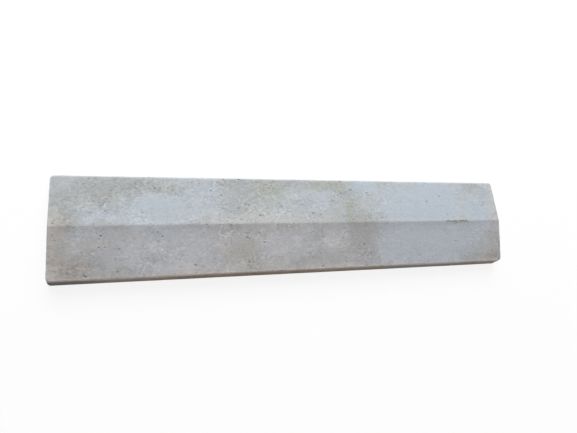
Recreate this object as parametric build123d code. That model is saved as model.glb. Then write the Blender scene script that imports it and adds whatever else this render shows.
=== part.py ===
from build123d import *
import math
import os

# Concrete coping stone: one casting that caps a free-standing wall and throws the rain off both sides.
# It is twice weathered, so two shallow slopes fall from a ridge along the middle to the long arrises.
# It is cast face down in a mould, so its sides and ends have draft, and the bed it is struck off at is widest.
# The frame is +X along the stone, +Y across it and +Z up, with the origin at the centre of the bed.

# Driving dimensions, in millimetres and degrees
length = 1200.0  # along the wall, at the bed
width = 250.0  # across the wall, at the bed
edge_height = 38.0  # bed to the long arrises
ridge_height = 55.0  # bed to the ridge line, before it is rounded off
mould_draft = 12.5  # lean of the sides and ends from upright
corner_radius = 10.0  # upright corners between sides and ends
arris_radius = 3.0  # edges between the weathered face and the sides and ends
ridge_radius = 6.0  # rounding along the ridge
drip_radius = 6.0  # half-round drip groove under each overhang
drip_inset = 22.0  # long edge of the bed to the groove's centre line

half_width = width / 2
half_face = half_width - edge_height * math.tan(math.radians(mould_draft))
drip_centre = half_width - drip_inset


def section():
    """The stone's section: flat bed, leaning sides and two slopes that meet at the ridge."""
    corners = [
        (-half_width, 0),
        (half_width, 0),
        (half_face, edge_height),
        (0, ridge_height),
        (-half_face, edge_height),
    ]
    return make_face(Polyline(*corners, close=True))


def mould_body():
    """The section run along the length, with its ends leaning in from the bed."""
    body = extrude(Plane.YZ * section(), amount=length / 2, both=True)
    ends = body.faces().filter_by(Axis.X)
    return draft(ends, neutral_plane=Plane.XY, angle=mould_draft)


def round_corners(body):
    """Rounds the four upright corners, which rise from the bed."""
    bed = body.faces().sort_by(Axis.Z)[0]
    rising = [edge for corner in bed.vertices() for edge in body.edges() if corner in edge.vertices()]
    uprights = ShapeList(rising) - bed.edges()
    return fillet(uprights, corner_radius)


def round_ridge(body):
    """Rounds the ridge, the highest edge that runs along the stone."""
    ridge = body.edges().filter_by(Axis.X).sort_by(Axis.Z)[-1]
    return fillet(ridge, ridge_radius)


def round_arrises(body):
    """Rounds the edge all the way round the weathered face."""
    by_tilt = body.faces().sort_by(lambda face: face.normal_at().Z)
    weathered = by_tilt[-3:]
    sides = by_tilt[1:-3]
    rim = [edge for edge in weathered.edges() if edge in sides.edges()]
    return fillet(rim, arris_radius)


def drip_grooves():
    """Two half-round bars that leave the drip grooves, from end to end of the bed."""
    bar = Plane.YZ * Cylinder(drip_radius, length)
    return [Pos(0, side * drip_centre, 0) * bar for side in (-1, 1)]


coping_stone = round_arrises(round_ridge(round_corners(mould_body()))) - drip_grooves()

os.makedirs("parts", exist_ok=True)
export_step(coping_stone, "parts/coping_stone.step")
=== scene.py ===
import math
from types import SimpleNamespace

import bmesh
import bpy
from mathutils import Matrix, Vector


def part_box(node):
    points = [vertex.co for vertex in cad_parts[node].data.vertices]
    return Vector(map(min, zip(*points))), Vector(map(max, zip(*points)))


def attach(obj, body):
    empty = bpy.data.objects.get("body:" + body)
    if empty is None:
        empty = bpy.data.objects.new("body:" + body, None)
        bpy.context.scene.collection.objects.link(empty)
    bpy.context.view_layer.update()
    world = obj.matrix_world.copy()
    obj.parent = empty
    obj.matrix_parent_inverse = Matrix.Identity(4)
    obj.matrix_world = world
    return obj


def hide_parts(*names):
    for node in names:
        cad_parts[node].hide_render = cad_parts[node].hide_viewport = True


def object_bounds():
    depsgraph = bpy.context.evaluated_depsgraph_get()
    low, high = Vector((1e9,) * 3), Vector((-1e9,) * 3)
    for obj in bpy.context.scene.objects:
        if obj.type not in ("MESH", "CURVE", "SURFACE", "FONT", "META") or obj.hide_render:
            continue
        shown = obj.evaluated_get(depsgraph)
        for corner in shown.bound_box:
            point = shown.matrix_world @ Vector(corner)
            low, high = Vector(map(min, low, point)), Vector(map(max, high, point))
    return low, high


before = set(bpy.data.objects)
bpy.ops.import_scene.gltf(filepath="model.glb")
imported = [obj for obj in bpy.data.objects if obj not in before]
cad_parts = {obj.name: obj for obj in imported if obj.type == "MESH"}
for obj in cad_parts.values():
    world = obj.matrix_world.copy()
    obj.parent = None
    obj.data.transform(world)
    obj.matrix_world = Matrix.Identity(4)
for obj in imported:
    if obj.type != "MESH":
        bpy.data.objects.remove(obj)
cad_low, cad_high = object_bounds()

# Coping stone
# One casting of wet concrete, vibrated face down in a mould, so its weathered face and sides are smooth.
# The bed was struck off with a board and is rougher. Years of handling have worn and nibbled the arrises.
_, stone_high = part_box("coping_stone")
ridge_height = 0.055  # bed to where the two slopes would meet, above the rounded ridge
arris_height = 0.038  # bed to the long arrises
mould_draft = math.radians(12.5)  # lean of the sides and ends from upright
arris_inset = arris_height * math.tan(mould_draft)
arris_half_width = stone_high.y - arris_inset  # middle of the stone to the long arrises
arris_half_length = stone_high.x - arris_inset  # middle of the stone to the end arrises
arris_reach = 0.009  # how far from the arrises they are worn and chipped
face_fall = (ridge_height - arris_height) / arris_half_width  # drop of a slope for each metre across it


def settle(piece):
    """Turns a piece and its modifiers into a plain mesh of its own."""
    graph = bpy.context.evaluated_depsgraph_get()
    rough = piece.data
    piece.data = bpy.data.meshes.new_from_object(piece.evaluated_get(graph), depsgraph=graph)
    piece.modifiers.clear()
    bpy.data.meshes.remove(rough)


def copy_of_casting(concrete):
    """The casting's exact faces as one merged mesh of concrete, in an object of its own."""
    faces = bmesh.new()
    faces.from_mesh(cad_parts["coping_stone"].data)
    bmesh.ops.remove_doubles(faces, verts=faces.verts, dist=1e-6)
    merged = bpy.data.meshes.new("cast_stone")
    faces.to_mesh(merged)
    faces.free()
    merged.materials.clear()
    merged.materials.append(concrete)
    piece = bpy.data.objects.new("cast_stone", merged)
    bpy.context.scene.collection.objects.link(piece)
    return piece


def divide_faces(piece):
    """Gives the stone small even faces that lie on the casting's own faces."""
    face_size = 0.0020
    grid = piece.modifiers.new("small even faces", "REMESH")
    grid.mode = "VOXEL"
    grid.voxel_size = face_size
    seat = piece.modifiers.new("back on the casting", "SHRINKWRAP")
    seat.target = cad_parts["coping_stone"]
    settle(piece)


def thin_flat_faces(piece):
    """Joins small faces where the surface is nearly flat, and keeps them small along the arrises."""
    kept_share = 0.26
    thin = piece.modifiers.new("larger flat faces", "DECIMATE")
    thin.ratio = kept_share
    settle(piece)


def add(tree, kind, inputs=None, **settings):
    """Adds a node to a tree with its settings, and its inputs linked or set by socket name or number."""
    node = tree.nodes.new(kind)
    for name, value in settings.items():
        setattr(node, name, value)
    for key, value in (inputs or {}).items():
        if isinstance(value, bpy.types.NodeSocket):
            tree.links.new(value, node.inputs[key])
        else:
            node.inputs[key].default_value = value
    return node


def maths(tree, operation, *values):
    """One sum, product or other operation on numbers, as a node's output."""
    return add(tree, "ShaderNodeMath", dict(enumerate(values)), operation=operation).outputs[0]


def plus(tree, first, *others):
    """Several numbers added up."""
    for other in others:
        first = maths(tree, "ADD", first, other)
    return first


def times(tree, first, *others):
    """Several numbers multiplied."""
    for other in others:
        first = maths(tree, "MULTIPLY", first, other)
    return first


def carried(tree, value, start, end, at_start, at_end, curve="LINEAR"):
    """A number taken from the range start to end into the range at_start to at_end, and kept within it."""
    inputs = {"Value": value, 1: start, 2: end, 3: at_start, 4: at_end}
    return add(tree, "ShaderNodeMapRange", inputs, interpolation_type=curve).outputs[0]


def ramp(tree, value, start, end):
    """A smooth rise from 0 at start to 1 at end, which may be the lower of the two."""
    low, high = min(start, end), max(start, end)
    at_low, at_high = (0.0, 1.0) if end > start else (1.0, 0.0)
    return carried(tree, value, low, high, at_low, at_high, "SMOOTHSTEP")


def rising(tree, share, low, high):
    """A number that goes evenly from low, where a share is 0, to high, where it is 1."""
    return plus(tree, low, times(tree, share, high - low))


def noise(tree, place, size, detail, roughness=0.55):
    """Cloudy noise about 0, mostly within a quarter either way, with features of about the given size."""
    middle = 0.5
    cloud = add(tree, "ShaderNodeTexNoise", {
        "Vector": place,
        "Scale": maths(tree, "DIVIDE", 1.0, size),
        "Detail": detail,
        "Roughness": roughness,
    })
    return maths(tree, "SUBTRACT", cloud.outputs[0], middle)


def each_axis(tree, operation, first, second):
    """One operation on two vectors, axis by axis."""
    return add(tree, "ShaderNodeVectorMath", {0: first, 1: second}, operation=operation).outputs[0]


def stretched(tree, place, factors):
    """A place multiplied by a factor along each axis: under 1, a pattern read there is drawn out."""
    return each_axis(tree, "MULTIPLY", place, factors)


def scaled(tree, arrow, share):
    """A vector or a colour multiplied by one number."""
    return add(tree, "ShaderNodeVectorMath", {0: arrow, "Scale": share}, operation="SCALE").outputs[0]


def axes_of(tree, arrow):
    """A vector's three numbers: along the stone, across it and up."""
    return add(tree, "ShaderNodeSeparateXYZ", {0: arrow}).outputs


def apart(tree, first, second):
    """How far two numbers are from each other."""
    return maths(tree, "ABSOLUTE", maths(tree, "SUBTRACT", first, second))


def near_arris(tree, place, reach):
    """How near a place is to the arris round the weathered face: 1 on it, 0 at reach from it."""
    along, across, up = axes_of(tree, place)
    from_ridge = maths(tree, "ABSOLUTE", across)
    face_height = maths(tree, "SUBTRACT", ridge_height, times(tree, from_ridge, face_fall))
    from_face = apart(tree, up, face_height)
    from_side = apart(tree, from_ridge, arris_half_width)
    from_end = apart(tree, maths(tree, "ABSOLUTE", along), arris_half_length)
    from_rim = maths(tree, "MINIMUM", from_side, from_end)
    return ramp(tree, maths(tree, "MAXIMUM", from_face, from_rim), start=reach, end=0.0)


def geometry_tree(name, sizes):
    """A Geometry Nodes tree with a named input for each size: the tree, its inputs and its output."""
    tree = bpy.data.node_groups.new(name, "GeometryNodeTree")
    tree.interface.new_socket("Geometry", in_out="INPUT", socket_type="NodeSocketGeometry")
    tree.interface.new_socket("Geometry", in_out="OUTPUT", socket_type="NodeSocketGeometry")
    for size in sizes:
        tree.interface.new_socket(size, in_out="INPUT", socket_type="NodeSocketFloat")
    inputs = tree.nodes.new("NodeGroupInput").outputs
    return tree, inputs, tree.nodes.new("NodeGroupOutput").inputs[0]


def use_tree(piece, tree, sizes):
    """Works a tree into a piece with the given sizes, and leaves a plain mesh."""
    modifier = piece.modifiers.new(tree.name, "NODES")
    modifier.node_group = tree
    for item in tree.interface.items_tree:
        if item.in_out == "INPUT" and item.name in sizes:
            modifier[item.identifier] = sizes[item.name]
    settle(piece)


def make_uneven(piece):
    """Long swells and ripples from the mould, drag marks along the bed, and arrises worn back unevenly."""
    sizes = {
        "Swell height": 0.0005,
        "Swell length": 0.16,
        "Ripple height": 0.00018,
        "Ripple length": 0.022,
        "Drag depth": 0.0013,
        "Drag width": 0.011,
        "Arris wear": 0.0016,
        "Arris wear length": 0.020,
    }
    bed_tilt = -0.9  # only the bed's faces point further down than this
    lowest = (-1.0, -1.0, 0.0)  # the bed's plane, which nothing may go below
    to_full_height = 2.0  # the noise mostly stays within a quarter either way
    tree, size, out = geometry_tree("mould_marks", sizes)
    place = add(tree, "GeometryNodeInputPosition").outputs[0]
    normal = add(tree, "GeometryNodeInputNormal").outputs[0]

    def relief(height, length, detail, where):
        return times(tree, noise(tree, where, size[length], detail), to_full_height, size[height])

    swells = relief("Swell height", "Swell length", detail=1.0, where=place)
    ripples = relief("Ripple height", "Ripple length", detail=3.0, where=place)
    wear = maths(tree, "ABSOLUTE", relief("Arris wear", "Arris wear length", detail=4.0, where=place))
    worn = times(tree, wear, near_arris(tree, place, arris_reach), -1.0)
    along_bed = stretched(tree, place, (0.14, 1.0, 1.0))
    drags = maths(tree, "ABSOLUTE", relief("Drag depth", "Drag width", detail=5.0, where=along_bed))
    outward = add(tree, "ShaderNodeMix", {
        "Factor": maths(tree, "LESS_THAN", axes_of(tree, normal)[2], bed_tilt),
        "A": plus(tree, swells, ripples, worn),
        "B": times(tree, drags, -1.0),
    }).outputs[0]
    shift = scaled(tree, normal, outward)
    moved = add(tree, "GeometryNodeSetPosition", {"Geometry": size[0], "Offset": shift}).outputs[0]
    raised = each_axis(tree, "MAXIMUM", place, lowest)
    off_floor = add(tree, "GeometryNodeSetPosition", {"Geometry": moved, "Position": raised}).outputs[0]
    tree.links.new(off_floor, out)
    use_tree(piece, tree, sizes)


def vector(tree, x, y, z):
    """Three numbers as one vector."""
    return add(tree, "ShaderNodeCombineXYZ", {0: x, 1: y, 2: z}).outputs[0]


def chance(tree, seed, low=0.0, high=1.0):
    """A random number for each point, from low to high."""
    inputs = {2: low, 3: high, "Seed": seed}  # the node's sockets for plain numbers
    return add(tree, "FunctionNodeRandomValue", inputs).outputs[1]


def between(tree, low, high, seed, skew):
    """A random size for each point, from low to high, with more of the small ones the greater the skew."""
    draw = maths(tree, "POWER", chance(tree, seed), skew)
    return plus(tree, low, times(tree, draw, maths(tree, "SUBTRACT", high, low)))


def scatter(tree, stone, density, seed):
    """Random points on the stone: the points, the way out of it there, and the turn that faces that way."""
    inputs = {"Mesh": stone, "Density": density, "Seed": seed}
    return add(tree, "GeometryNodeDistributePointsOnFaces", inputs).outputs


def lump(tree, rounds, dents_across, dent_detail):
    """A dented ball of radius about 1, to cut a hollow with."""
    dent_depth = 0.9
    ball = add(tree, "GeometryNodeMeshIcoSphere", {"Radius": 1.0, "Subdivisions": rounds}).outputs[0]
    place = add(tree, "GeometryNodeInputPosition").outputs[0]
    dents = noise(tree, place, 1 / dents_across, dent_detail, roughness=0.5)
    dented = scaled(tree, place, plus(tree, 1.0, times(tree, dents, dent_depth)))
    return add(tree, "GeometryNodeSetPosition", {"Geometry": ball, "Position": dented}).outputs[0]


def set_in(tree, shape, points, turn, scale, seed):
    """A shape at each point, turned to the face and spun at random."""
    inputs = {"Points": points, "Instance": shape, "Rotation": turn, "Scale": scale}
    shapes = add(tree, "GeometryNodeInstanceOnPoints", inputs).outputs[0]
    spin = vector(tree, 0.0, 0.0, chance(tree, seed, 0.0, math.tau))
    return add(tree, "GeometryNodeRotateInstances", {"Instances": shapes, "Rotation": spin}).outputs[0]


def lifted(tree, points, way, distance):
    """Points moved the given way, so that what is set there cuts less deep."""
    shift = scaled(tree, way, distance)
    return add(tree, "GeometryNodeSetPosition", {"Geometry": points, "Offset": shift}).outputs[0]


def scattered_blowholes(tree, stone, size):
    """Small holes that air bubbles left in the cast faces, in clusters, and fewer towards the right end."""
    seed = 11
    bed_tilt = -0.5  # only the bed's faces point further down than this
    place = add(tree, "GeometryNodeInputPosition").outputs[0]
    normal = add(tree, "GeometryNodeInputNormal").outputs[0]
    cast_side = maths(tree, "GREATER_THAN", axes_of(tree, normal)[2], bed_tilt)
    clusters = ramp(tree, noise(tree, place, size=0.07, detail=2.0), start=-0.10, end=0.16)
    left_of_end = ramp(tree, axes_of(tree, place)[0], start=0.26, end=0.14)
    share_there = rising(tree, left_of_end, low=0.15, high=1.0)
    density = times(tree, size["Blowholes in a square metre"], cast_side, clusters, share_there)
    points, _, turn = scatter(tree, stone, density, seed)
    radius = between(tree, size["Smallest blowhole"], size["Largest blowhole"], seed, skew=2.5)
    width = times(tree, radius, chance(tree, seed + 1, low=0.65, high=1.1))
    depth = times(tree, radius, chance(tree, seed + 2, low=0.35, high=0.75))
    bubble = lump(tree, rounds=3, dents_across=0.8, dent_detail=1.0)
    return set_in(tree, bubble, points, turn, vector(tree, radius, width, depth), seed + 3)


def open_blowholes(tree):
    """The larger holes that catch the eye on the two slopes, each where it is on the stone."""
    holes = (  # along, across and radius
        (-0.373, 0.087, 0.0029),
        (-0.126, 0.020, 0.0037),
        (-0.119, 0.020, 0.0028),
        (0.012, 0.024, 0.0037),
        (0.125, 0.088, 0.0035),
        (-0.179, 0.038, 0.0029),
        (-0.484, -0.024, 0.0028),
        (-0.070, 0.043, 0.0036),
        (0.400, 0.072, 0.0033),
        (-0.509, 0.028, 0.0023),
        (-0.446, -0.053, 0.0023),
        (0.354, 0.057, 0.0030),
        (-0.477, 0.032, 0.0027),
        (0.171, 0.080, 0.0032),
        (-0.282, -0.095, 0.0036),
        (0.095, 0.079, 0.0029),
        (-0.173, 0.010, 0.0028),
        (-0.118, -0.047, 0.0036),
        (0.548, 0.054, 0.0024),
        (-0.161, 0.048, 0.0029),
        (-0.504, 0.046, 0.0024),
        (0.151, -0.059, 0.0034),
        (-0.488, -0.048, 0.0023),
        (0.031, 0.021, 0.0029),
        (-0.239, -0.083, 0.0030),
        (-0.398, 0.029, 0.0017),
        (-0.333, 0.083, 0.0020),
        (-0.476, -0.048, 0.0023),
        (-0.450, -0.103, 0.0029),
        (-0.155, -0.093, 0.0030),
        (-0.062, 0.025, 0.0029),
        (0.036, -0.038, 0.0026),
        (0.142, 0.082, 0.0024),
        (0.316, -0.093, 0.0028),
        (0.414, 0.018, 0.0021),
        (0.464, -0.099, 0.0027),
        (0.558, -0.090, 0.0029),
        (0.434, -0.057, 0.0027),
    )
    turn_step = 2.4  # radians from one hole to the next, so that no two look alike
    length_share, width_share, depth_share = 1.06, 0.92, 0.40  # of a hole's radius
    bubble = lump(tree, rounds=4, dents_across=0.9, dent_detail=2.0)
    cutters = []
    for number, (x, y, radius) in enumerate(holes):
        cutters.append(add(tree, "GeometryNodeTransform", {
            "Geometry": bubble,
            "Translation": (x, y, ridge_height - abs(y) * face_fall),
            "Rotation": (0.0, 0.0, number * turn_step),
            "Scale": (radius * length_share, radius * width_share, radius * depth_share),
        }).outputs[0])
    return cutters


def arris_chips(tree, stone, size):
    """Chips knocked out of the arris all round the weathered face."""
    seed = 23
    least_nearness = 0.3  # to the arris, where a chip may start
    width_share, depth_share, lift_share = 0.7, 0.6, 0.42  # of a chip's length
    place = add(tree, "GeometryNodeInputPosition").outputs[0]
    on_arris = maths(tree, "GREATER_THAN", near_arris(tree, place, arris_reach), least_nearness)
    points, way, turn = scatter(tree, stone, times(tree, size["Chips in a square metre"], on_arris), seed)
    chip = between(tree, size["Smallest chip"], size["Largest chip"], seed, skew=3.0)
    scale = vector(tree, chip, times(tree, chip, width_share), times(tree, chip, depth_share))
    raised = lifted(tree, points, way, times(tree, chip, lift_share))
    shape = lump(tree, rounds=3, dents_across=1.3, dent_detail=2.0)
    return set_in(tree, shape, raised, turn, scale, seed + 1)


def ridge_nicks(tree, stone, size):
    """Small nicks in the near side of the ridge."""
    seed = 37
    strip_middle, strip_half_width = -0.0015, 0.0030  # across the stone
    top_tilt = 0.5  # the slopes' faces point further up than this
    length_share, depth_share, lift_share = 1.25, 0.6, 0.25  # of a nick's width
    place = add(tree, "GeometryNodeInputPosition").outputs[0]
    normal = add(tree, "GeometryNodeInputNormal").outputs[0]
    by_ridge = maths(tree, "COMPARE", axes_of(tree, place)[1], strip_middle, strip_half_width)
    on_top = maths(tree, "GREATER_THAN", axes_of(tree, normal)[2], top_tilt)
    density = times(tree, size["Ridge nicks in a square metre"], by_ridge, on_top)
    points, way, turn = scatter(tree, stone, density, seed)
    nick = between(tree, size["Smallest ridge nick"], size["Largest ridge nick"], seed, skew=2.0)
    scale = vector(tree, times(tree, nick, length_share), nick, times(tree, nick, depth_share))
    raised = lifted(tree, points, way, times(tree, nick, lift_share))
    shape = lump(tree, rounds=2, dents_across=1.1, dent_detail=1.0)
    return set_in(tree, shape, raised, turn, scale, seed + 1)


def ridge_spalls(tree, size):
    """Three stretches of the ridge that have broken away, each a rough trough with bites along it."""
    spalls = (  # middle and half length along the ridge, and how many bites
        (0.414, 0.0080, 5),
        (0.4345, 0.0095, 6),
        (0.462, 0.0150, 10),
    )
    trough_half_width, trough_depth = 0.0046, 0.0013
    off_ridge = -0.0028  # the breaks lie a little to the near side
    out_of_row, sideways_out = 0.0015, 0.0034  # how far a bite may stray along and across
    width_share, depth_share = 0.85, 0.45  # of a bite's length
    seed, seed_step = 5, 7
    trough = lump(tree, rounds=4, dents_across=2.2, dent_detail=4.0)
    bite_shape = lump(tree, rounds=3, dents_across=2.0, dent_detail=2.0)
    cutters = []
    for middle, half_length, bites in spalls:
        half_turn = math.pi * (seed % 2)  # every other trough lies the other way round
        cutters.append(add(tree, "GeometryNodeTransform", {
            "Geometry": trough,
            "Translation": (middle, off_ridge, ridge_height),
            "Rotation": (0.0, 0.0, half_turn),
            "Scale": (half_length, trough_half_width, trough_depth),
        }).outputs[0])
        row = add(tree, "GeometryNodeMeshLine", {
            "Count": bites,
            "Start Location": (middle - half_length, off_ridge, ridge_height),
            "Offset": (2 * half_length / (bites - 1), 0.0, 0.0),
        }).outputs[0]
        along = chance(tree, seed, -out_of_row, out_of_row)
        sideways = chance(tree, seed + 1, -sideways_out, sideways_out)
        astray = vector(tree, along, sideways, 0.0)
        uneven_row = add(tree, "GeometryNodeSetPosition", {"Geometry": row, "Offset": astray}).outputs[0]
        bite = between(tree, size["Smallest bite"], size["Largest bite"], seed + 2, skew=1.0)
        scale = vector(tree, bite, times(tree, bite, width_share), times(tree, bite, depth_share))
        cutters.append(set_in(tree, bite_shape, uneven_row, (0.0, 0.0, 0.0), scale, seed + 3))
        seed += seed_step
    return cutters


def break_surface(piece):
    """Cuts holes, chips and breaks out of the stone, and marks how deep they are under the old surface."""
    sizes = {
        "Blowholes in a square metre": 1200.0,
        "Smallest blowhole": 0.0008,
        "Largest blowhole": 0.0026,
        "Chips in a square metre": 2600.0,
        "Smallest chip": 0.0030,
        "Largest chip": 0.0085,
        "Ridge nicks in a square metre": 2600.0,
        "Smallest ridge nick": 0.0010,
        "Largest ridge nick": 0.0030,
        "Smallest bite": 0.0012,
        "Largest bite": 0.0028,
        "Sharp fold": 0.6,
    }
    tree, size, out = geometry_tree("holes_and_chips", sizes)
    stone = size[0]
    cutters = [scattered_blowholes(tree, stone, size), *open_blowholes(tree)]
    cutters += [arris_chips(tree, stone, size), ridge_nicks(tree, stone, size), *ridge_spalls(tree, size)]
    cut = add(tree, "GeometryNodeMeshBoolean", {"Mesh 1": stone}, operation="DIFFERENCE", solver="MANIFOLD")
    for cutter in cutters:
        tree.links.new(cutter, cut.inputs["Mesh 2"])

    depth = add(tree, "GeometryNodeProximity", {0: stone}, target_element="FACES").outputs["Distance"]
    marked = add(tree, "GeometryNodeStoreNamedAttribute", {
        "Geometry": cut.outputs[0],
        "Name": "hollow",
        "Value": depth,
    }, data_type="FLOAT", domain="POINT").outputs[0]
    fold = add(tree, "GeometryNodeInputMeshEdgeAngle").outputs[0]
    smooth = add(tree, "GeometryNodeSetShadeSmooth", {"Geometry": marked}, domain="FACE").outputs[0]
    creased = add(tree, "GeometryNodeSetShadeSmooth", {
        "Geometry": smooth,
        "Shade Smooth": maths(tree, "LESS_THAN", fold, size["Sharp fold"]),
    }, domain="EDGE").outputs[0]
    whole = add(tree, "GeometryNodeRealizeInstances", {0: creased}).outputs[0]
    concrete = piece.data.materials[0]
    finished = add(tree, "GeometryNodeSetMaterial", {"Geometry": whole, "Material": concrete}).outputs[0]
    tree.links.new(finished, out)
    use_tree(piece, tree, sizes)


def stain_patch():
    """A node group for one stain on the stone: how much of it covers a place, from 0 to 1."""
    group = bpy.data.node_groups.new("stain_patch", "ShaderNodeTree")
    sockets = {"Place": "Vector", "Centre": "Vector", "Reach": "Vector", "Softness": "Float"}
    for name, kind in sockets.items():
        group.interface.new_socket(name, in_out="INPUT", socket_type="NodeSocket" + kind)
    group.interface.new_socket("Cover", in_out="OUTPUT", socket_type="NodeSocketFloat")
    given = group.nodes.new("NodeGroupInput").outputs
    from_centre = each_axis(group, "SUBTRACT", given["Place"], given["Centre"])
    in_reaches = each_axis(group, "DIVIDE", from_centre, given["Reach"])
    flat = stretched(group, in_reaches, (1.0, 1.0, 0.0))
    away = add(group, "ShaderNodeVectorMath", {0: flat}, operation="LENGTH").outputs["Value"]
    inner = maths(group, "SUBTRACT", 1.0, given["Softness"])
    outer = plus(group, 1.0, given["Softness"])
    cover = carried(group, away, inner, outer, 1.0, 0.0, "SMOOTHSTEP")
    add(group, "NodeGroupOutput", {0: cover})
    return group


def cover_of(tree, look, place, stains):
    """How much several stains cover, each given as its centre, half length, half width and strength."""
    softness = 0.55
    cover = 0.0
    for along, across, half_length, half_width, strength in stains:
        one = add(tree, "ShaderNodeGroup", node_tree=look.patch)
        tree.links.new(place, one.inputs["Place"])
        one.inputs["Centre"].default_value = (along, across, 0.0)
        one.inputs["Reach"].default_value = (half_length, half_width, 1.0)
        one.inputs["Softness"].default_value = softness
        cover = maths(tree, "MAXIMUM", times(tree, one.outputs[0], strength), cover)
    return cover


def mix_colour(tree, share, first, second, blend="MIX"):
    """Two colours mixed, from the first at a share of 0 to the second at 1."""
    inputs = {0: share, 6: first, 7: second}  # the node's sockets for colours
    return add(tree, "ShaderNodeMix", inputs, data_type="RGBA", blend_type=blend).outputs[2]


def tinted(tree, share, tone, tint):
    """A tone multiplied by a tint, as far as the share of it says."""
    return mix_colour(tree, share, tone, mix_colour(tree, 1.0, tone, tint, "MULTIPLY"))


def shaded(tree, tone, change):
    """A tone made lighter or darker by a share of itself."""
    return scaled(tree, tone, plus(tree, 1.0, change))


def level(tree, cloud, low, high):
    """A cloud of noise as a number from low to high."""
    usual_reach = 0.25
    return carried(tree, cloud, -usual_reach, usual_reach, low, high)


def less(tree, share):
    """What is left of 1."""
    return maths(tree, "SUBTRACT", 1.0, share)


def bent(tree, place, by, size, detail):
    """A place pushed about by noise, so that a pattern read there has ragged edges."""
    middle = (0.5, 0.5, 0.5)
    drift = add(tree, "ShaderNodeTexNoise", {"Vector": place, "Scale": 1 / size, "Detail": detail})
    centred = each_axis(tree, "SUBTRACT", drift.outputs["Color"], middle)
    return each_axis(tree, "ADD", place, scaled(tree, centred, by))


def cells(tree, place, size):
    """Cells of about the given size: how far a place is from its cell's middle, and the cell's number."""
    voronoi = add(tree, "ShaderNodeTexVoronoi", {"Vector": place, "Scale": 1 / size}).outputs
    number = add(tree, "ShaderNodeSeparateColor", {0: voronoi["Color"]}).outputs[0]
    return voronoi["Distance"], number


def surface_patterns(tree):
    """Where a place is on the stone, and the patterns that its finishes are made from, large to small."""
    blend = 0.0015  # half the width in which one slope's look gives way to the other's
    known = add(tree, "ShaderNodeTexCoord").outputs
    place = known["Object"]
    _, across, up = axes_of(tree, place)
    tilt = axes_of(tree, known["Normal"])[2]
    streaked = stretched(tree, place, (0.7, 1.0, 1.0))
    drawn_out = stretched(tree, place, (0.3, 1.0, 1.0))
    swayed = bent(tree, place, by=0.085, size=0.070, detail=4.0)
    jostled = bent(tree, place, by=0.0016, size=0.0008, detail=1.0)
    grain_height, grain_number = cells(tree, jostled, size=0.0012)
    on_top = ramp(tree, up, start=0.026, end=0.036)
    return SimpleNamespace(
        place=place,
        across=across,
        up=up,
        ragged=bent(tree, swayed, by=0.030, size=0.011, detail=2.0),
        frayed=bent(tree, place, by=0.030, size=0.011, detail=2.0),
        rough_edged=bent(tree, place, by=0.006, size=0.004, detail=2.0),
        patch=stain_patch(),
        clouds=noise(tree, place, size=0.110, detail=4.0, roughness=0.6),
        clusters=noise(tree, streaked, size=0.036, detail=4.0, roughness=0.6),
        flakes=noise(tree, streaked, size=0.020, detail=5.0, roughness=0.7),
        mottle=noise(tree, place, size=0.012, detail=6.0, roughness=0.72),
        scuffs=noise(tree, drawn_out, size=0.0055, detail=2.0, roughness=0.6),
        grain=noise(tree, streaked, size=0.0045, detail=2.0, roughness=0.6),
        sand=maths(tree, "SUBTRACT", grain_number, 0.5),
        sand_height=grain_height,
        on_top=on_top,
        near_slope=times(tree, ramp(tree, across, start=blend, end=-blend), on_top),
        far_slope=times(tree, ramp(tree, across, start=-blend, end=blend), on_top),
        on_bed=ramp(tree, tilt, start=-0.2, end=-0.5),
    )


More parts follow.
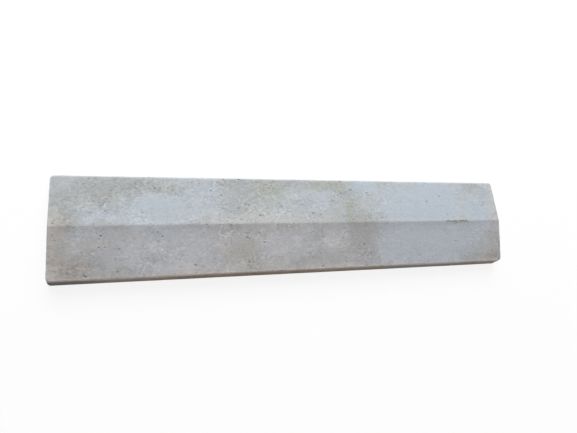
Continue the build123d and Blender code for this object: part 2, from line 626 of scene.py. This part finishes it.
def weathered_face(tree, look):
    """The two slopes: film where the cement skin is sound, sand where it has worn off, and the stains."""
    film_tone = (0.420, 0.468, 0.515, 1)
    sand_tone = (0.405, 0.410, 0.402, 1)
    bloom_tone = (0.480, 0.478, 0.476, 1)
    damp_tone = (0.346, 0.356, 0.354, 1)
    moss_tone = (0.361, 0.380, 0.329, 1)
    soil_tone = (0.300, 0.250, 0.195, 1)
    film_patches = (
        (-0.362, 0.036, 0.118, 0.044, 0.85),
        (-0.485, 0.026, 0.062, 0.030, 0.70),
        (-0.425, 0.056, 0.042, 0.026, 0.85),
        (-0.272, 0.075, 0.075, 0.056, 0.75),
        (-0.290, 0.034, 0.085, 0.036, 0.75),
        (-0.575, 0.085, 0.026, 0.030, 0.50),
        (-0.060, 0.042, 0.085, 0.045, 0.45),
        (0.030, 0.065, 0.060, 0.040, 0.65),
        (0.345, 0.058, 0.165, 0.085, 1.00),
        (0.150, 0.096, 0.050, 0.028, 0.95),
        (0.510, 0.040, 0.060, 0.050, 0.92),
        (0.555, 0.080, 0.040, 0.040, 0.85),
        (0.350, -0.060, 0.170, 0.085, 0.85),
        (-0.512, -0.024, 0.042, 0.024, 0.48),
        (-0.070, -0.055, 0.080, 0.042, 0.50),
        (-0.335, -0.062, 0.130, 0.060, 0.54),
        (0.500, -0.022, 0.060, 0.034, 0.85),
    )
    sound_patches = (
        (0.345, 0.058, 0.165, 0.085, 1.00),
        (0.375, -0.055, 0.170, 0.085, 0.90),
        (-0.330, 0.045, 0.110, 0.045, 0.50),
        (0.000, -0.055, 0.110, 0.055, 0.55),
        (-0.330, -0.060, 0.130, 0.062, 0.40),
    )
    bloom_patches = (
        (-0.120, 0.012, 0.150, 0.020, 0.65),
        (-0.260, -0.106, 0.110, 0.020, 0.65),
        (0.000, -0.110, 0.150, 0.014, 0.50),
        (0.050, -0.040, 0.040, 0.030, 0.35),
        (-0.215, -0.040, 0.045, 0.030, 0.35),
        (-0.330, -0.060, 0.070, 0.030, 0.22),
        (0.578, 0.045, 0.022, 0.050, 0.50),
        (-0.586, -0.045, 0.016, 0.050, 0.60),
        (-0.080, -0.060, 0.060, 0.040, 0.50),
    )
    damp_patches = (
        (-0.455, 0.088, 0.090, 0.026, 0.70),
        (-0.280, 0.090, 0.040, 0.020, 0.22),
        (-0.481, 0.046, 0.026, 0.016, 0.24),
        (-0.570, 0.042, 0.034, 0.040, 0.55),
        (-0.130, 0.097, 0.078, 0.022, 0.42),
        (-0.195, 0.050, 0.050, 0.050, 0.20),
        (0.112, 0.050, 0.042, 0.075, 0.23),
        (0.151, -0.045, 0.040, 0.080, 0.45),
        (0.060, 0.098, 0.040, 0.016, 0.55),
        (0.030, -0.092, 0.090, 0.022, 0.25),
        (0.575, -0.070, 0.022, 0.060, 0.45),
        (0.520, 0.085, 0.040, 0.030, 0.35),
    )
    moss_patches = (
        (0.116, 0.040, 0.014, 0.036, 0.90),
        (-0.350, 0.087, 0.040, 0.007, 0.45),
        (-0.178, -0.075, 0.040, 0.030, 0.25),
        (-0.100, 0.085, 0.050, 0.024, 0.55),
        (0.070, 0.100, 0.050, 0.012, 0.50),
    )
    soil_patches = (
        (-0.543, -0.092, 0.040, 0.030, 0.48),
        (-0.590, -0.050, 0.018, 0.060, 0.26),
        (-0.470, -0.106, 0.052, 0.014, 0.24),
        (-0.553, 0.016, 0.034, 0.020, 0.26),
        (0.560, -0.106, 0.040, 0.016, 0.45),
        (-0.178, -0.075, 0.046, 0.034, 0.11),
        (0.148, -0.040, 0.038, 0.055, 0.17),
        (0.070, -0.091, 0.120, 0.020, 0.13),
    )

    film_hold, skin_hold = 0.6, 0.85  # how far they keep the sand from wearing bare

    def stained(stains):
        return times(tree, cover_of(tree, look, look.ragged, stains), look.on_top)

    thin_film = level(tree, look.clouds, low=0.0, high=0.50)
    film = maths(tree, "MAXIMUM", stained(film_patches), thin_film)
    under_skin = times(tree, stained(sound_patches), skin_hold)
    sound = maths(tree, "MAXIMUM", times(tree, film, film_hold), under_skin)
    tone = mix_colour(tree, film, sand_tone, film_tone)
    tone = mix_colour(tree, stained(bloom_patches), tone, bloom_tone)
    tone = mix_colour(tree, stained(damp_patches), tone, damp_tone)
    tone = mix_colour(tree, stained(moss_patches), tone, moss_tone)
    tone = mix_colour(tree, stained(soil_patches), tone, soil_tone)
    return tone, film, less(tree, sound)


def speckled(tree, look, tone, film, worn):
    """Flakes at the film's edges, scuffs, and mottle, grit and dots that crowd where it has worn off."""
    bare_patches = (
        (-0.216, 0.041, 0.018, 0.022, 0.70),
        (-0.213, -0.026, 0.022, 0.034, 0.90),
        (-0.254, -0.015, 0.020, 0.014, 0.70),
        (-0.222, 0.098, 0.034, 0.014, 0.80),
        (-0.408, 0.087, 0.026, 0.016, 0.75),
        (-0.564, 0.051, 0.020, 0.018, 0.65),
        (-0.492, -0.015, 0.016, 0.016, 0.75),
        (-0.155, -0.092, 0.026, 0.014, 0.95),
        (-0.488, 0.048, 0.024, 0.024, 0.75),
        (-0.390, -0.082, 0.022, 0.018, 0.70),
        (-0.543, -0.095, 0.026, 0.018, 0.95),
        (-0.133, 0.067, 0.022, 0.018, 0.75),
        (0.003, 0.014, 0.018, 0.012, 0.75),
        (0.018, -0.015, 0.020, 0.014, 0.60),
        (0.080, 0.073, 0.022, 0.018, 0.70),
        (0.123, 0.044, 0.018, 0.034, 0.80),
        (0.219, 0.063, 0.024, 0.020, 0.50),
        (0.156, -0.083, 0.034, 0.018, 0.75),
    )
    whole_patches = (
        (-0.318, -0.100, 0.030, 0.014, 0.90),
        (-0.572, 0.095, 0.024, 0.024, 0.90),
        (-0.335, -0.020, 0.066, 0.018, 0.90),
        (-0.458, -0.042, 0.026, 0.022, 0.80),
        (-0.448, 0.013, 0.024, 0.014, 0.75),
        (-0.368, 0.019, 0.024, 0.016, 0.70),
        (-0.312, 0.096, 0.024, 0.014, 0.45),
        (-0.522, 0.081, 0.022, 0.018, 0.45),
        (-0.076, -0.065, 0.026, 0.032, 0.75),
        (0.032, -0.098, 0.028, 0.014, 0.85),
        (0.025, 0.065, 0.022, 0.020, 0.75),
        (0.242, -0.099, 0.026, 0.014, 0.75),
        (0.568, 0.000, 0.022, 0.040, 0.90),
        (-0.268, 0.036, 0.024, 0.036, 0.75),
        (0.201, 0.097, 0.024, 0.018, 0.80),
    )
    flake_reach, flake_contrast = 1.6, 0.14
    darkest_dot = -0.55
    broken = ramp(tree, plus(tree, film, times(tree, look.flakes, flake_reach)), start=0.20, end=0.80)
    flaking = maths(tree, "SUBTRACT", broken, film)
    tone = shaded(tree, tone, times(tree, flaking, flake_contrast))

    in_clusters = ramp(tree, look.clusters, start=-0.12, end=0.12)
    crowd = times(tree, worn, in_clusters, rising(tree, look.near_slope, low=1.0, high=0.82))
    crowd = maths(tree, "MAXIMUM", crowd, cover_of(tree, look, look.frayed, bare_patches))
    crowd = times(tree, crowd, less(tree, cover_of(tree, look, look.frayed, whole_patches)))
    mottle = times(tree, look.mottle, rising(tree, crowd, low=0.22, high=0.97))
    grit = times(tree, look.grain, rising(tree, crowd, low=0.20, high=1.40))
    sand = times(tree, look.sand, rising(tree, worn, low=0.06, high=0.18))
    scuffed = ramp(tree, look.scuffs, start=-0.09, end=-0.20)
    scuffs = times(tree, scuffed, rising(tree, worn, low=-0.04, high=-0.16))
    tone = shaded(tree, tone, plus(tree, mottle, grit, sand, scuffs))

    jostled = bent(tree, look.place, by=0.004, size=0.0025, detail=1.0)
    away, number = cells(tree, jostled, size=0.009)
    in_dot = ramp(tree, away, start=0.27, end=0.19)
    dark = times(tree, ramp(tree, number, start=0.70, end=1.0), darkest_dot)
    paleness = rising(tree, look.near_slope, low=0.30, high=0.10)
    pale = times(tree, ramp(tree, number, start=0.24, end=0.0), paleness)
    strength = rising(tree, crowd, low=0.25, high=1.25)
    return shaded(tree, tone, times(tree, in_dot, plus(tree, dark, pale), strength))


def smudged(tree, look, tone):
    """Pale soil dust in three places, and the smudges and rubs that handling has left."""
    dust_tone = (0.460, 0.430, 0.375, 1)
    dusty_patches = (
        (-0.573, -0.045, 0.026, 0.052, 0.35),
        (-0.186, -0.066, 0.042, 0.022, 0.20),
        (-0.130, -0.109, 0.050, 0.010, 0.20),
    )
    smudges = (
        (0.350, -0.060, 0.170, 0.085, 0.04),
        (0.530, 0.055, 0.060, 0.050, 0.025),
        (0.500, -0.022, 0.050, 0.030, 0.045),
        (-0.537, 0.023, 0.016, 0.012, 0.13),
        (-0.474, 0.038, 0.014, 0.010, 0.10),
        (-0.362, -0.074, 0.020, 0.010, 0.13),
        (-0.143, -0.096, 0.018, 0.010, 0.12),
        (-0.355, 0.075, 0.018, 0.010, 0.10),
        (-0.006, 0.054, 0.018, 0.012, 0.11),
        (0.187, 0.015, 0.018, 0.010, 0.10),
        (0.025, -0.030, 0.016, 0.012, 0.12),
        (-0.034, -0.093, 0.018, 0.010, 0.12),
        (-0.198, -0.009, 0.024, 0.008, 0.13),
        (-0.054, -0.019, 0.016, 0.010, 0.11),
        (-0.490, -0.080, 0.016, 0.012, 0.11),
        (-0.564, -0.047, 0.014, 0.014, 0.10),
        (0.303, -0.086, 0.020, 0.009, 0.09),
        (0.485, -0.088, 0.062, 0.024, 0.09),
        (-0.035, 0.109, 0.030, 0.008, 0.12),
        (-0.168, 0.109, 0.020, 0.008, 0.11),
        (-0.324, 0.083, 0.018, 0.011, 0.12),
        (0.113, 0.007, 0.014, 0.010, 0.08),
        (0.121, 0.082, 0.016, 0.012, 0.09),
        (-0.543, -0.008, 0.016, 0.012, 0.10),
    )
    rubs = (
        (-0.582, 0.014, 0.016, 0.024, 0.18),
        (-0.584, -0.097, 0.012, 0.014, 0.20),
        (-0.514, 0.046, 0.014, 0.012, 0.12),
        (-0.012, -0.014, 0.016, 0.010, 0.12),
        (-0.383, -0.010, 0.030, 0.011, 0.07),
        (-0.316, -0.105, 0.030, 0.012, 0.06),
        (0.583, -0.006, 0.012, 0.030, 0.08),
        (-0.192, 0.015, 0.024, 0.012, 0.06),
        (-0.333, 0.093, 0.018, 0.010, 0.07),
        (-0.046, 0.078, 0.018, 0.012, 0.12),
        (-0.080, 0.027, 0.016, 0.010, 0.11),
        (-0.090, -0.028, 0.016, 0.012, 0.11),
        (0.563, -0.018, 0.016, 0.016, 0.11),
        (-0.215, -0.020, 0.016, 0.012, 0.11),
        (-0.448, 0.063, 0.016, 0.012, 0.10),
        (0.517, 0.070, 0.018, 0.014, 0.10),
        (0.582, 0.105, 0.014, 0.012, 0.12),
        (-0.373, 0.070, 0.014, 0.010, 0.10),
        (-0.398, 0.008, 0.016, 0.008, 0.10),
        (0.058, -0.049, 0.018, 0.012, 0.10),
        (0.251, -0.109, 0.024, 0.007, 0.10),
        (0.079, -0.110, 0.024, 0.007, 0.09),
    )
    dusty = times(tree, cover_of(tree, look, look.frayed, dusty_patches), look.on_top)
    tone = mix_colour(tree, dusty, tone, dust_tone)
    paler = cover_of(tree, look, look.frayed, rubs)
    darker = cover_of(tree, look, look.frayed, smudges)
    return shaded(tree, tone, times(tree, maths(tree, "SUBTRACT", paler, darker), look.on_top))


def ridge_line(tree, look, tone):
    """Cool and warm patches on the near slope, painted shade that is darkest under the ridge, and a painted
    highlight with some rubbing along the ridge's far side.
    """
    cool_tint = (1.050, 1.043, 1.085, 1)
    warm_tint = (1.104, 1.043, 1.025, 1)
    line_shade, ridge_highlight_strength = -0.05, 0.05
    near_tint = mix_colour(tree, level(tree, look.flakes, low=0.0, high=1.0), cool_tint, warm_tint)
    tone = tinted(tree, look.near_slope, tone, near_tint)
    # Painted shade: the near slope darkens towards the ridge, and most in a thin line just under it.
    shade = times(tree, look.near_slope, level(tree, look.clouds, low=-0.05, high=-0.12))
    under = times(tree, ramp(tree, look.across, start=-0.040, end=-0.002), shade)
    close_under = times(tree, ramp(tree, look.across, start=-0.016, end=-0.002), look.near_slope)
    close_above = times(tree, ramp(tree, look.across, start=0.014, end=0.003), look.far_slope)
    line = times(tree, close_under, line_shade)
    # Painted highlight, with some rubbing, along the ridge's far side.
    painted_ridge_highlight = times(tree, close_above, ridge_highlight_strength)
    return shaded(tree, tone, plus(tree, under, line, painted_ridge_highlight))


def broken_ridge(tree, look, tone):
    """Old dirt in the breaks of the ridge, and the pale bruised edge above them."""
    break_tone = (0.244, 0.260, 0.248, 1)
    bruise_tone = (0.500, 0.500, 0.468, 1)
    breaks = (
        (0.415, -0.0034, 0.0110, 0.0040, 0.60),
        (0.4345, -0.0036, 0.0085, 0.0042, 0.95),
        (0.462, -0.0030, 0.0155, 0.0042, 0.70),
    )
    bruises = (
        (0.452, 0.0065, 0.0170, 0.0035, 0.60),
    )
    bruised = times(tree, cover_of(tree, look, look.rough_edged, bruises), look.on_top)
    tone = mix_colour(tree, bruised, tone, bruise_tone)
    dirty = times(tree, cover_of(tree, look, look.rough_edged, breaks), look.on_top)
    return mix_colour(tree, dirty, tone, break_tone)


def worn_and_highlit_arrises(tree, look, tone):
    """The arrises are rubbed pale and carry a painted highlight, the near one in places only, and that one
    has soil dust and painted warm light bounced from the ground along it.
    """
    rubbed_and_highlight_tone = (0.545, 0.572, 0.590, 1)
    dust_and_bounce_light_tint = (1.150, 1.045, 0.985, 1)
    rub_and_highlight_reach = 0.0065
    other_arrises = ramp(tree, look.across, start=-0.100, end=-0.090)
    in_places = level(tree, look.clusters, low=0.15, high=1.0)
    share = maths(tree, "MAXIMUM", other_arrises, in_places)
    patchy = level(tree, look.mottle, low=0.45, high=1.0)
    # The pale along the arrises is wear and also a painted highlight that the arrises catch.
    rubbed = times(tree, near_arris(tree, look.place, rub_and_highlight_reach), patchy, share)
    tone = mix_colour(tree, rubbed, tone, rubbed_and_highlight_tone)
    by_near_arris = ramp(tree, look.across, start=-0.1065, end=-0.1150)
    # Soil dust and painted warm light bounced from the ground, along the near arris.
    dust = times(tree, by_near_arris, level(tree, look.mottle, low=0.6, high=1.2))
    return tinted(tree, dust, tone, dust_and_bounce_light_tint)


def soiled_sides(tree, look, tone):
    """Dried mud on the near side, with painted shade making one corner dark, washed off in a stretch, and
    splashes at the foot.
    """
    mud_tone = (0.285, 0.222, 0.168)
    # The corner tone and the dark corner are painted shade in the near side's left corner.
    painted_corner_shade_tone = (0.120, 0.112, 0.105, 1)
    washed_tone = (0.250, 0.246, 0.238, 1)
    splash_tone = (0.300, 0.268, 0.232, 1)
    painted_shade_corner = (-0.600, -0.121, 0.110, 0.080, 0.85)
    washed_stretch = (0.330, -0.121, 0.085, 0.080, 0.90)
    rubbed_stretches = (
        (-0.410, -0.121, 0.120, 0.080, 1.00),
        (0.365, -0.121, 0.100, 0.080, 1.00),
    )
    rub_depth = 0.008  # how far the mud is rubbed down from the arris
    mud_waver, splash_waver = 0.010, 0.040  # how far their upper edges go up and down
    thick_waver = 1.4  # how unevenly the mud thickens towards the foot
    splash_share = 0.45
    cast_side = less(tree, look.on_bed)
    drawn_down = stretched(tree, look.place, (1.0, 1.0, 0.15))
    runs = noise(tree, drawn_down, size=0.014, detail=4.0, roughness=0.65)
    blotches = plus(
        tree,
        level(tree, look.clouds, low=-0.16, high=0.16),
        times(tree, runs, 0.7),
        times(tree, look.mottle, 0.6),
        times(tree, look.sand, 0.30),
    )
    mud = shaded(tree, mud_tone, blotches)
    mud = mix_colour(tree, cover_of(tree, look, look.ragged, [washed_stretch]), mud, washed_tone)
    # Painted shade: the near side's left corner is made nearly black.
    mud = mix_colour(tree, cover_of(tree, look, look.ragged, [painted_shade_corner]), mud, painted_corner_shade_tone)
    low_down = ramp(tree, look.up, start=0.038, end=0.022)
    uneven_low_down = plus(tree, low_down, times(tree, look.flakes, thick_waver))
    thickness = rising(tree, ramp(tree, uneven_low_down, start=0.0, end=0.9), low=0.62, high=0.98)
    rubbed_down = times(tree, cover_of(tree, look, look.ragged, rubbed_stretches), rub_depth)
    mud_height = plus(tree, look.up, rubbed_down, times(tree, look.flakes, mud_waver))
    below_arris = times(tree, ramp(tree, mud_height, start=0.0395, end=0.0350), cast_side)
    near_side = times(tree, ramp(tree, look.across, start=-0.1160, end=-0.1185), below_arris)
    tone = mix_colour(tree, times(tree, near_side, thickness), tone, mud)
    splash_height = plus(tree, look.up, times(tree, look.flakes, splash_waver))
    splashes = times(tree, ramp(tree, splash_height, start=0.016, end=0.001), cast_side, splash_share)
    return mix_colour(tree, splashes, tone, splash_tone)


def struck_bed(tree, look, tone):
    """The bed's own colour: sandy, with the drag marks of the board along it."""
    bed_tone = (0.400, 0.396, 0.380)
    drawn_out = stretched(tree, look.place, (0.06, 1.0, 1.0))
    drags = noise(tree, drawn_out, size=0.008, detail=4.0, roughness=0.65)
    blotches = plus(
        tree,
        times(tree, drags, 0.35),
        times(tree, look.mottle, 0.4),
        times(tree, look.sand, 0.25),
    )
    return mix_colour(tree, look.on_bed, tone, shaded(tree, bed_tone, blotches))


def dirty_hollows(tree, tone):
    """Dirt that has settled in the holes and breaks, thicker the deeper they are."""
    dirt_tone = (0.275, 0.255, 0.232, 1)
    most_dirt = 0.50
    depth = add(tree, "ShaderNodeAttribute", attribute_name="hollow").outputs["Fac"]
    dirty = times(tree, ramp(tree, depth, start=0.0001, end=0.0015), most_dirt)
    return mix_colour(tree, dirty, tone, dirt_tone)


def cast_concrete():
    """Grey cast concrete, weathered on top, soiled at the sides and sandy underneath, with some shade and
    highlights painted into its colour at the ridge, the arrises and a corner of the near side.
    """
    film_gloss = 0.10  # how much less rough the cement film is
    material = bpy.data.materials.new("cast_concrete")
    material.use_nodes = True
    tree = material.node_tree
    shader = tree.nodes["Principled BSDF"]
    look = surface_patterns(tree)
    tone, film, worn = weathered_face(tree, look)
    tone = speckled(tree, look, tone, film, worn)
    tone = ridge_line(tree, look, tone)
    tone = broken_ridge(tree, look, tone)
    tone = worn_and_highlit_arrises(tree, look, tone)
    tone = smudged(tree, look, tone)
    tone = soiled_sides(tree, look, tone)
    tone = struck_bed(tree, look, tone)
    tone = dirty_hollows(tree, tone)
    tree.links.new(tone, shader.inputs["Base Color"])
    bare_roughness = level(tree, look.mottle, low=0.88, high=0.98)
    roughness = maths(tree, "SUBTRACT", bare_roughness, times(tree, film, film_gloss))
    tree.links.new(roughness, shader.inputs["Roughness"])
    shader.inputs["Specular IOR Level"].default_value = 0.3
    skin = plus(
        tree,
        times(tree, look.mottle, 0.6),
        times(tree, look.grain, 0.4),
        times(tree, look.sand_height, -0.12),
    )
    relief = add(tree, "ShaderNodeBump", {"Strength": 0.5, "Distance": 0.0006, "Height": skin})
    tree.links.new(relief.outputs[0], shader.inputs["Normal"])
    return material


stone = copy_of_casting(cast_concrete())
divide_faces(stone)
make_uneven(stone)
thin_flat_faces(stone)
break_surface(stone)
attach(stone, "root")
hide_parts("coping_stone")

# Floor
# A plain pale studio floor for the stone to lie on, so wide that its edge is far off.
# It looks white to the camera and keeps the stone's shadow.
floor_half_size = 8.0
floor_drop = 0.0002  # below the bed, so that the two don't share a plane
floor_corners = [
    (side_x * floor_half_size, side_y * floor_half_size, -floor_drop)
    for side_x, side_y in ((-1, -1), (1, -1), (1, 1), (-1, 1))
]
floor_mesh = bpy.data.meshes.new("floor")
floor_mesh.from_pydata(floor_corners, [], [(0, 1, 2, 3)])
floor = bpy.data.objects.new("floor", floor_mesh)
bpy.context.scene.collection.objects.link(floor)


def seen_directly(tree):
    """1 for what the camera sees, straight or in a gloss or a glass, and 0 for light on its way round."""
    path = add(tree, "ShaderNodeLightPath").outputs
    seen = maths(tree, "MAXIMUM", path["Is Camera Ray"], path["Is Glossy Ray"])
    return maths(tree, "MAXIMUM", seen, path["Is Transmission Ray"])


def white_floor():
    """Matt white paint, with enough of a white glow for the camera to hide where the floor ends."""
    glow_share = 0.84
    near_by, far_away = 0.7, 2.0  # metres from the middle, between which the glow grows to the whole
    edge_overlap = 0.004  # how far in under the stone the glow starts
    material = bpy.data.materials.new("white_floor")
    material.use_nodes = True
    tree = material.node_tree
    tree.nodes.clear()
    paint = add(tree, "ShaderNodeBsdfDiffuse", {"Color": (0.98, 0.98, 0.98, 1)})
    glow = add(tree, "ShaderNodeEmission", {"Color": (1, 1, 1, 1), "Strength": 1.0})
    place = add(tree, "ShaderNodeTexCoord").outputs["Object"]
    away = add(tree, "ShaderNodeVectorMath", {0: place}, operation="LENGTH").outputs["Value"]
    far_off = carried(tree, away, near_by, far_away, glow_share, 1.0)
    along, across, _ = axes_of(tree, place)
    past_end = maths(tree, "GREATER_THAN", maths(tree, "ABSOLUTE", along), cad_high.x - edge_overlap)
    past_side = maths(tree, "GREATER_THAN", maths(tree, "ABSOLUTE", across), cad_high.y - edge_overlap)
    clear_of_stone = maths(tree, "MAXIMUM", past_end, past_side)
    share = times(tree, seen_directly(tree), far_off, clear_of_stone)
    mixed = add(tree, "ShaderNodeMixShader", {0: share, 1: paint.outputs[0], 2: glow.outputs[0]})
    add(tree, "ShaderNodeOutputMaterial", {"Surface": mixed.outputs[0]})
    return material


floor_mesh.materials.append(white_floor())

# Light
# One large soft box hangs beyond the far side, so that the far slope is the lighter one.
# The world adds even light from all round, and is plain white behind the floor.
key_height = 36.0  # degrees above the floor
key_distance = 5.0
key_side = 4.0
key_power = 312.0
fill_level = 0.385
key_data = bpy.data.lights.new("soft_box", "AREA")
key_data.shape = "SQUARE"
key_data.size = key_side
key_data.energy = key_power
key = bpy.data.objects.new("soft_box", key_data)
bpy.context.scene.collection.objects.link(key)
key.matrix_world = (
    Matrix.Rotation(math.radians(key_height - 90), 4, "X") @ Matrix.Translation((0, 0, key_distance))
)

world = bpy.data.worlds.new("studio")
world.use_nodes = True
air = world.node_tree
air.nodes.clear()
even_light = add(air, "ShaderNodeBackground", {"Color": (1, 1, 1, 1), "Strength": fill_level})
backdrop = add(air, "ShaderNodeBackground", {"Color": (1, 1, 1, 1), "Strength": 1.0})
either = add(air, "ShaderNodeMixShader", {
    0: seen_directly(air),
    1: even_light.outputs[0],
    2: backdrop.outputs[0],
})
add(air, "ShaderNodeOutputWorld", {"Surface": either.outputs[0]})
bpy.context.scene.world = world

# Camera
# It hangs over the near long side, left of the middle, and looks down on the weathered face.
# Its place, turn and focal length are fitted to the stone's corners and ridge in the photograph.
image_width = 577
focal_pixels = 380.1
camera_place = Vector((-0.3092, -0.1309, 0.9588))
camera_forward = Vector((0.2672, 0.1549, -0.9511)).normalized()
camera_right = Vector((0.9636, -0.0517, 0.2623))
camera_right = (camera_right - camera_forward * camera_right.dot(camera_forward)).normalized()
camera_up = camera_right.cross(camera_forward)
camera_data = bpy.data.cameras.new("camera")
camera_data.sensor_width = 36.0
camera_data.lens = camera_data.sensor_width * focal_pixels / image_width
camera = bpy.data.objects.new("camera", camera_data)
bpy.context.scene.collection.objects.link(camera)
turn = Matrix((camera_right, camera_up, -camera_forward)).transposed().to_4x4()
camera.matrix_world = Matrix.Translation(camera_place) @ turn
bpy.context.scene.camera = camera

bpy.context.scene.view_settings.view_transform = "Standard"
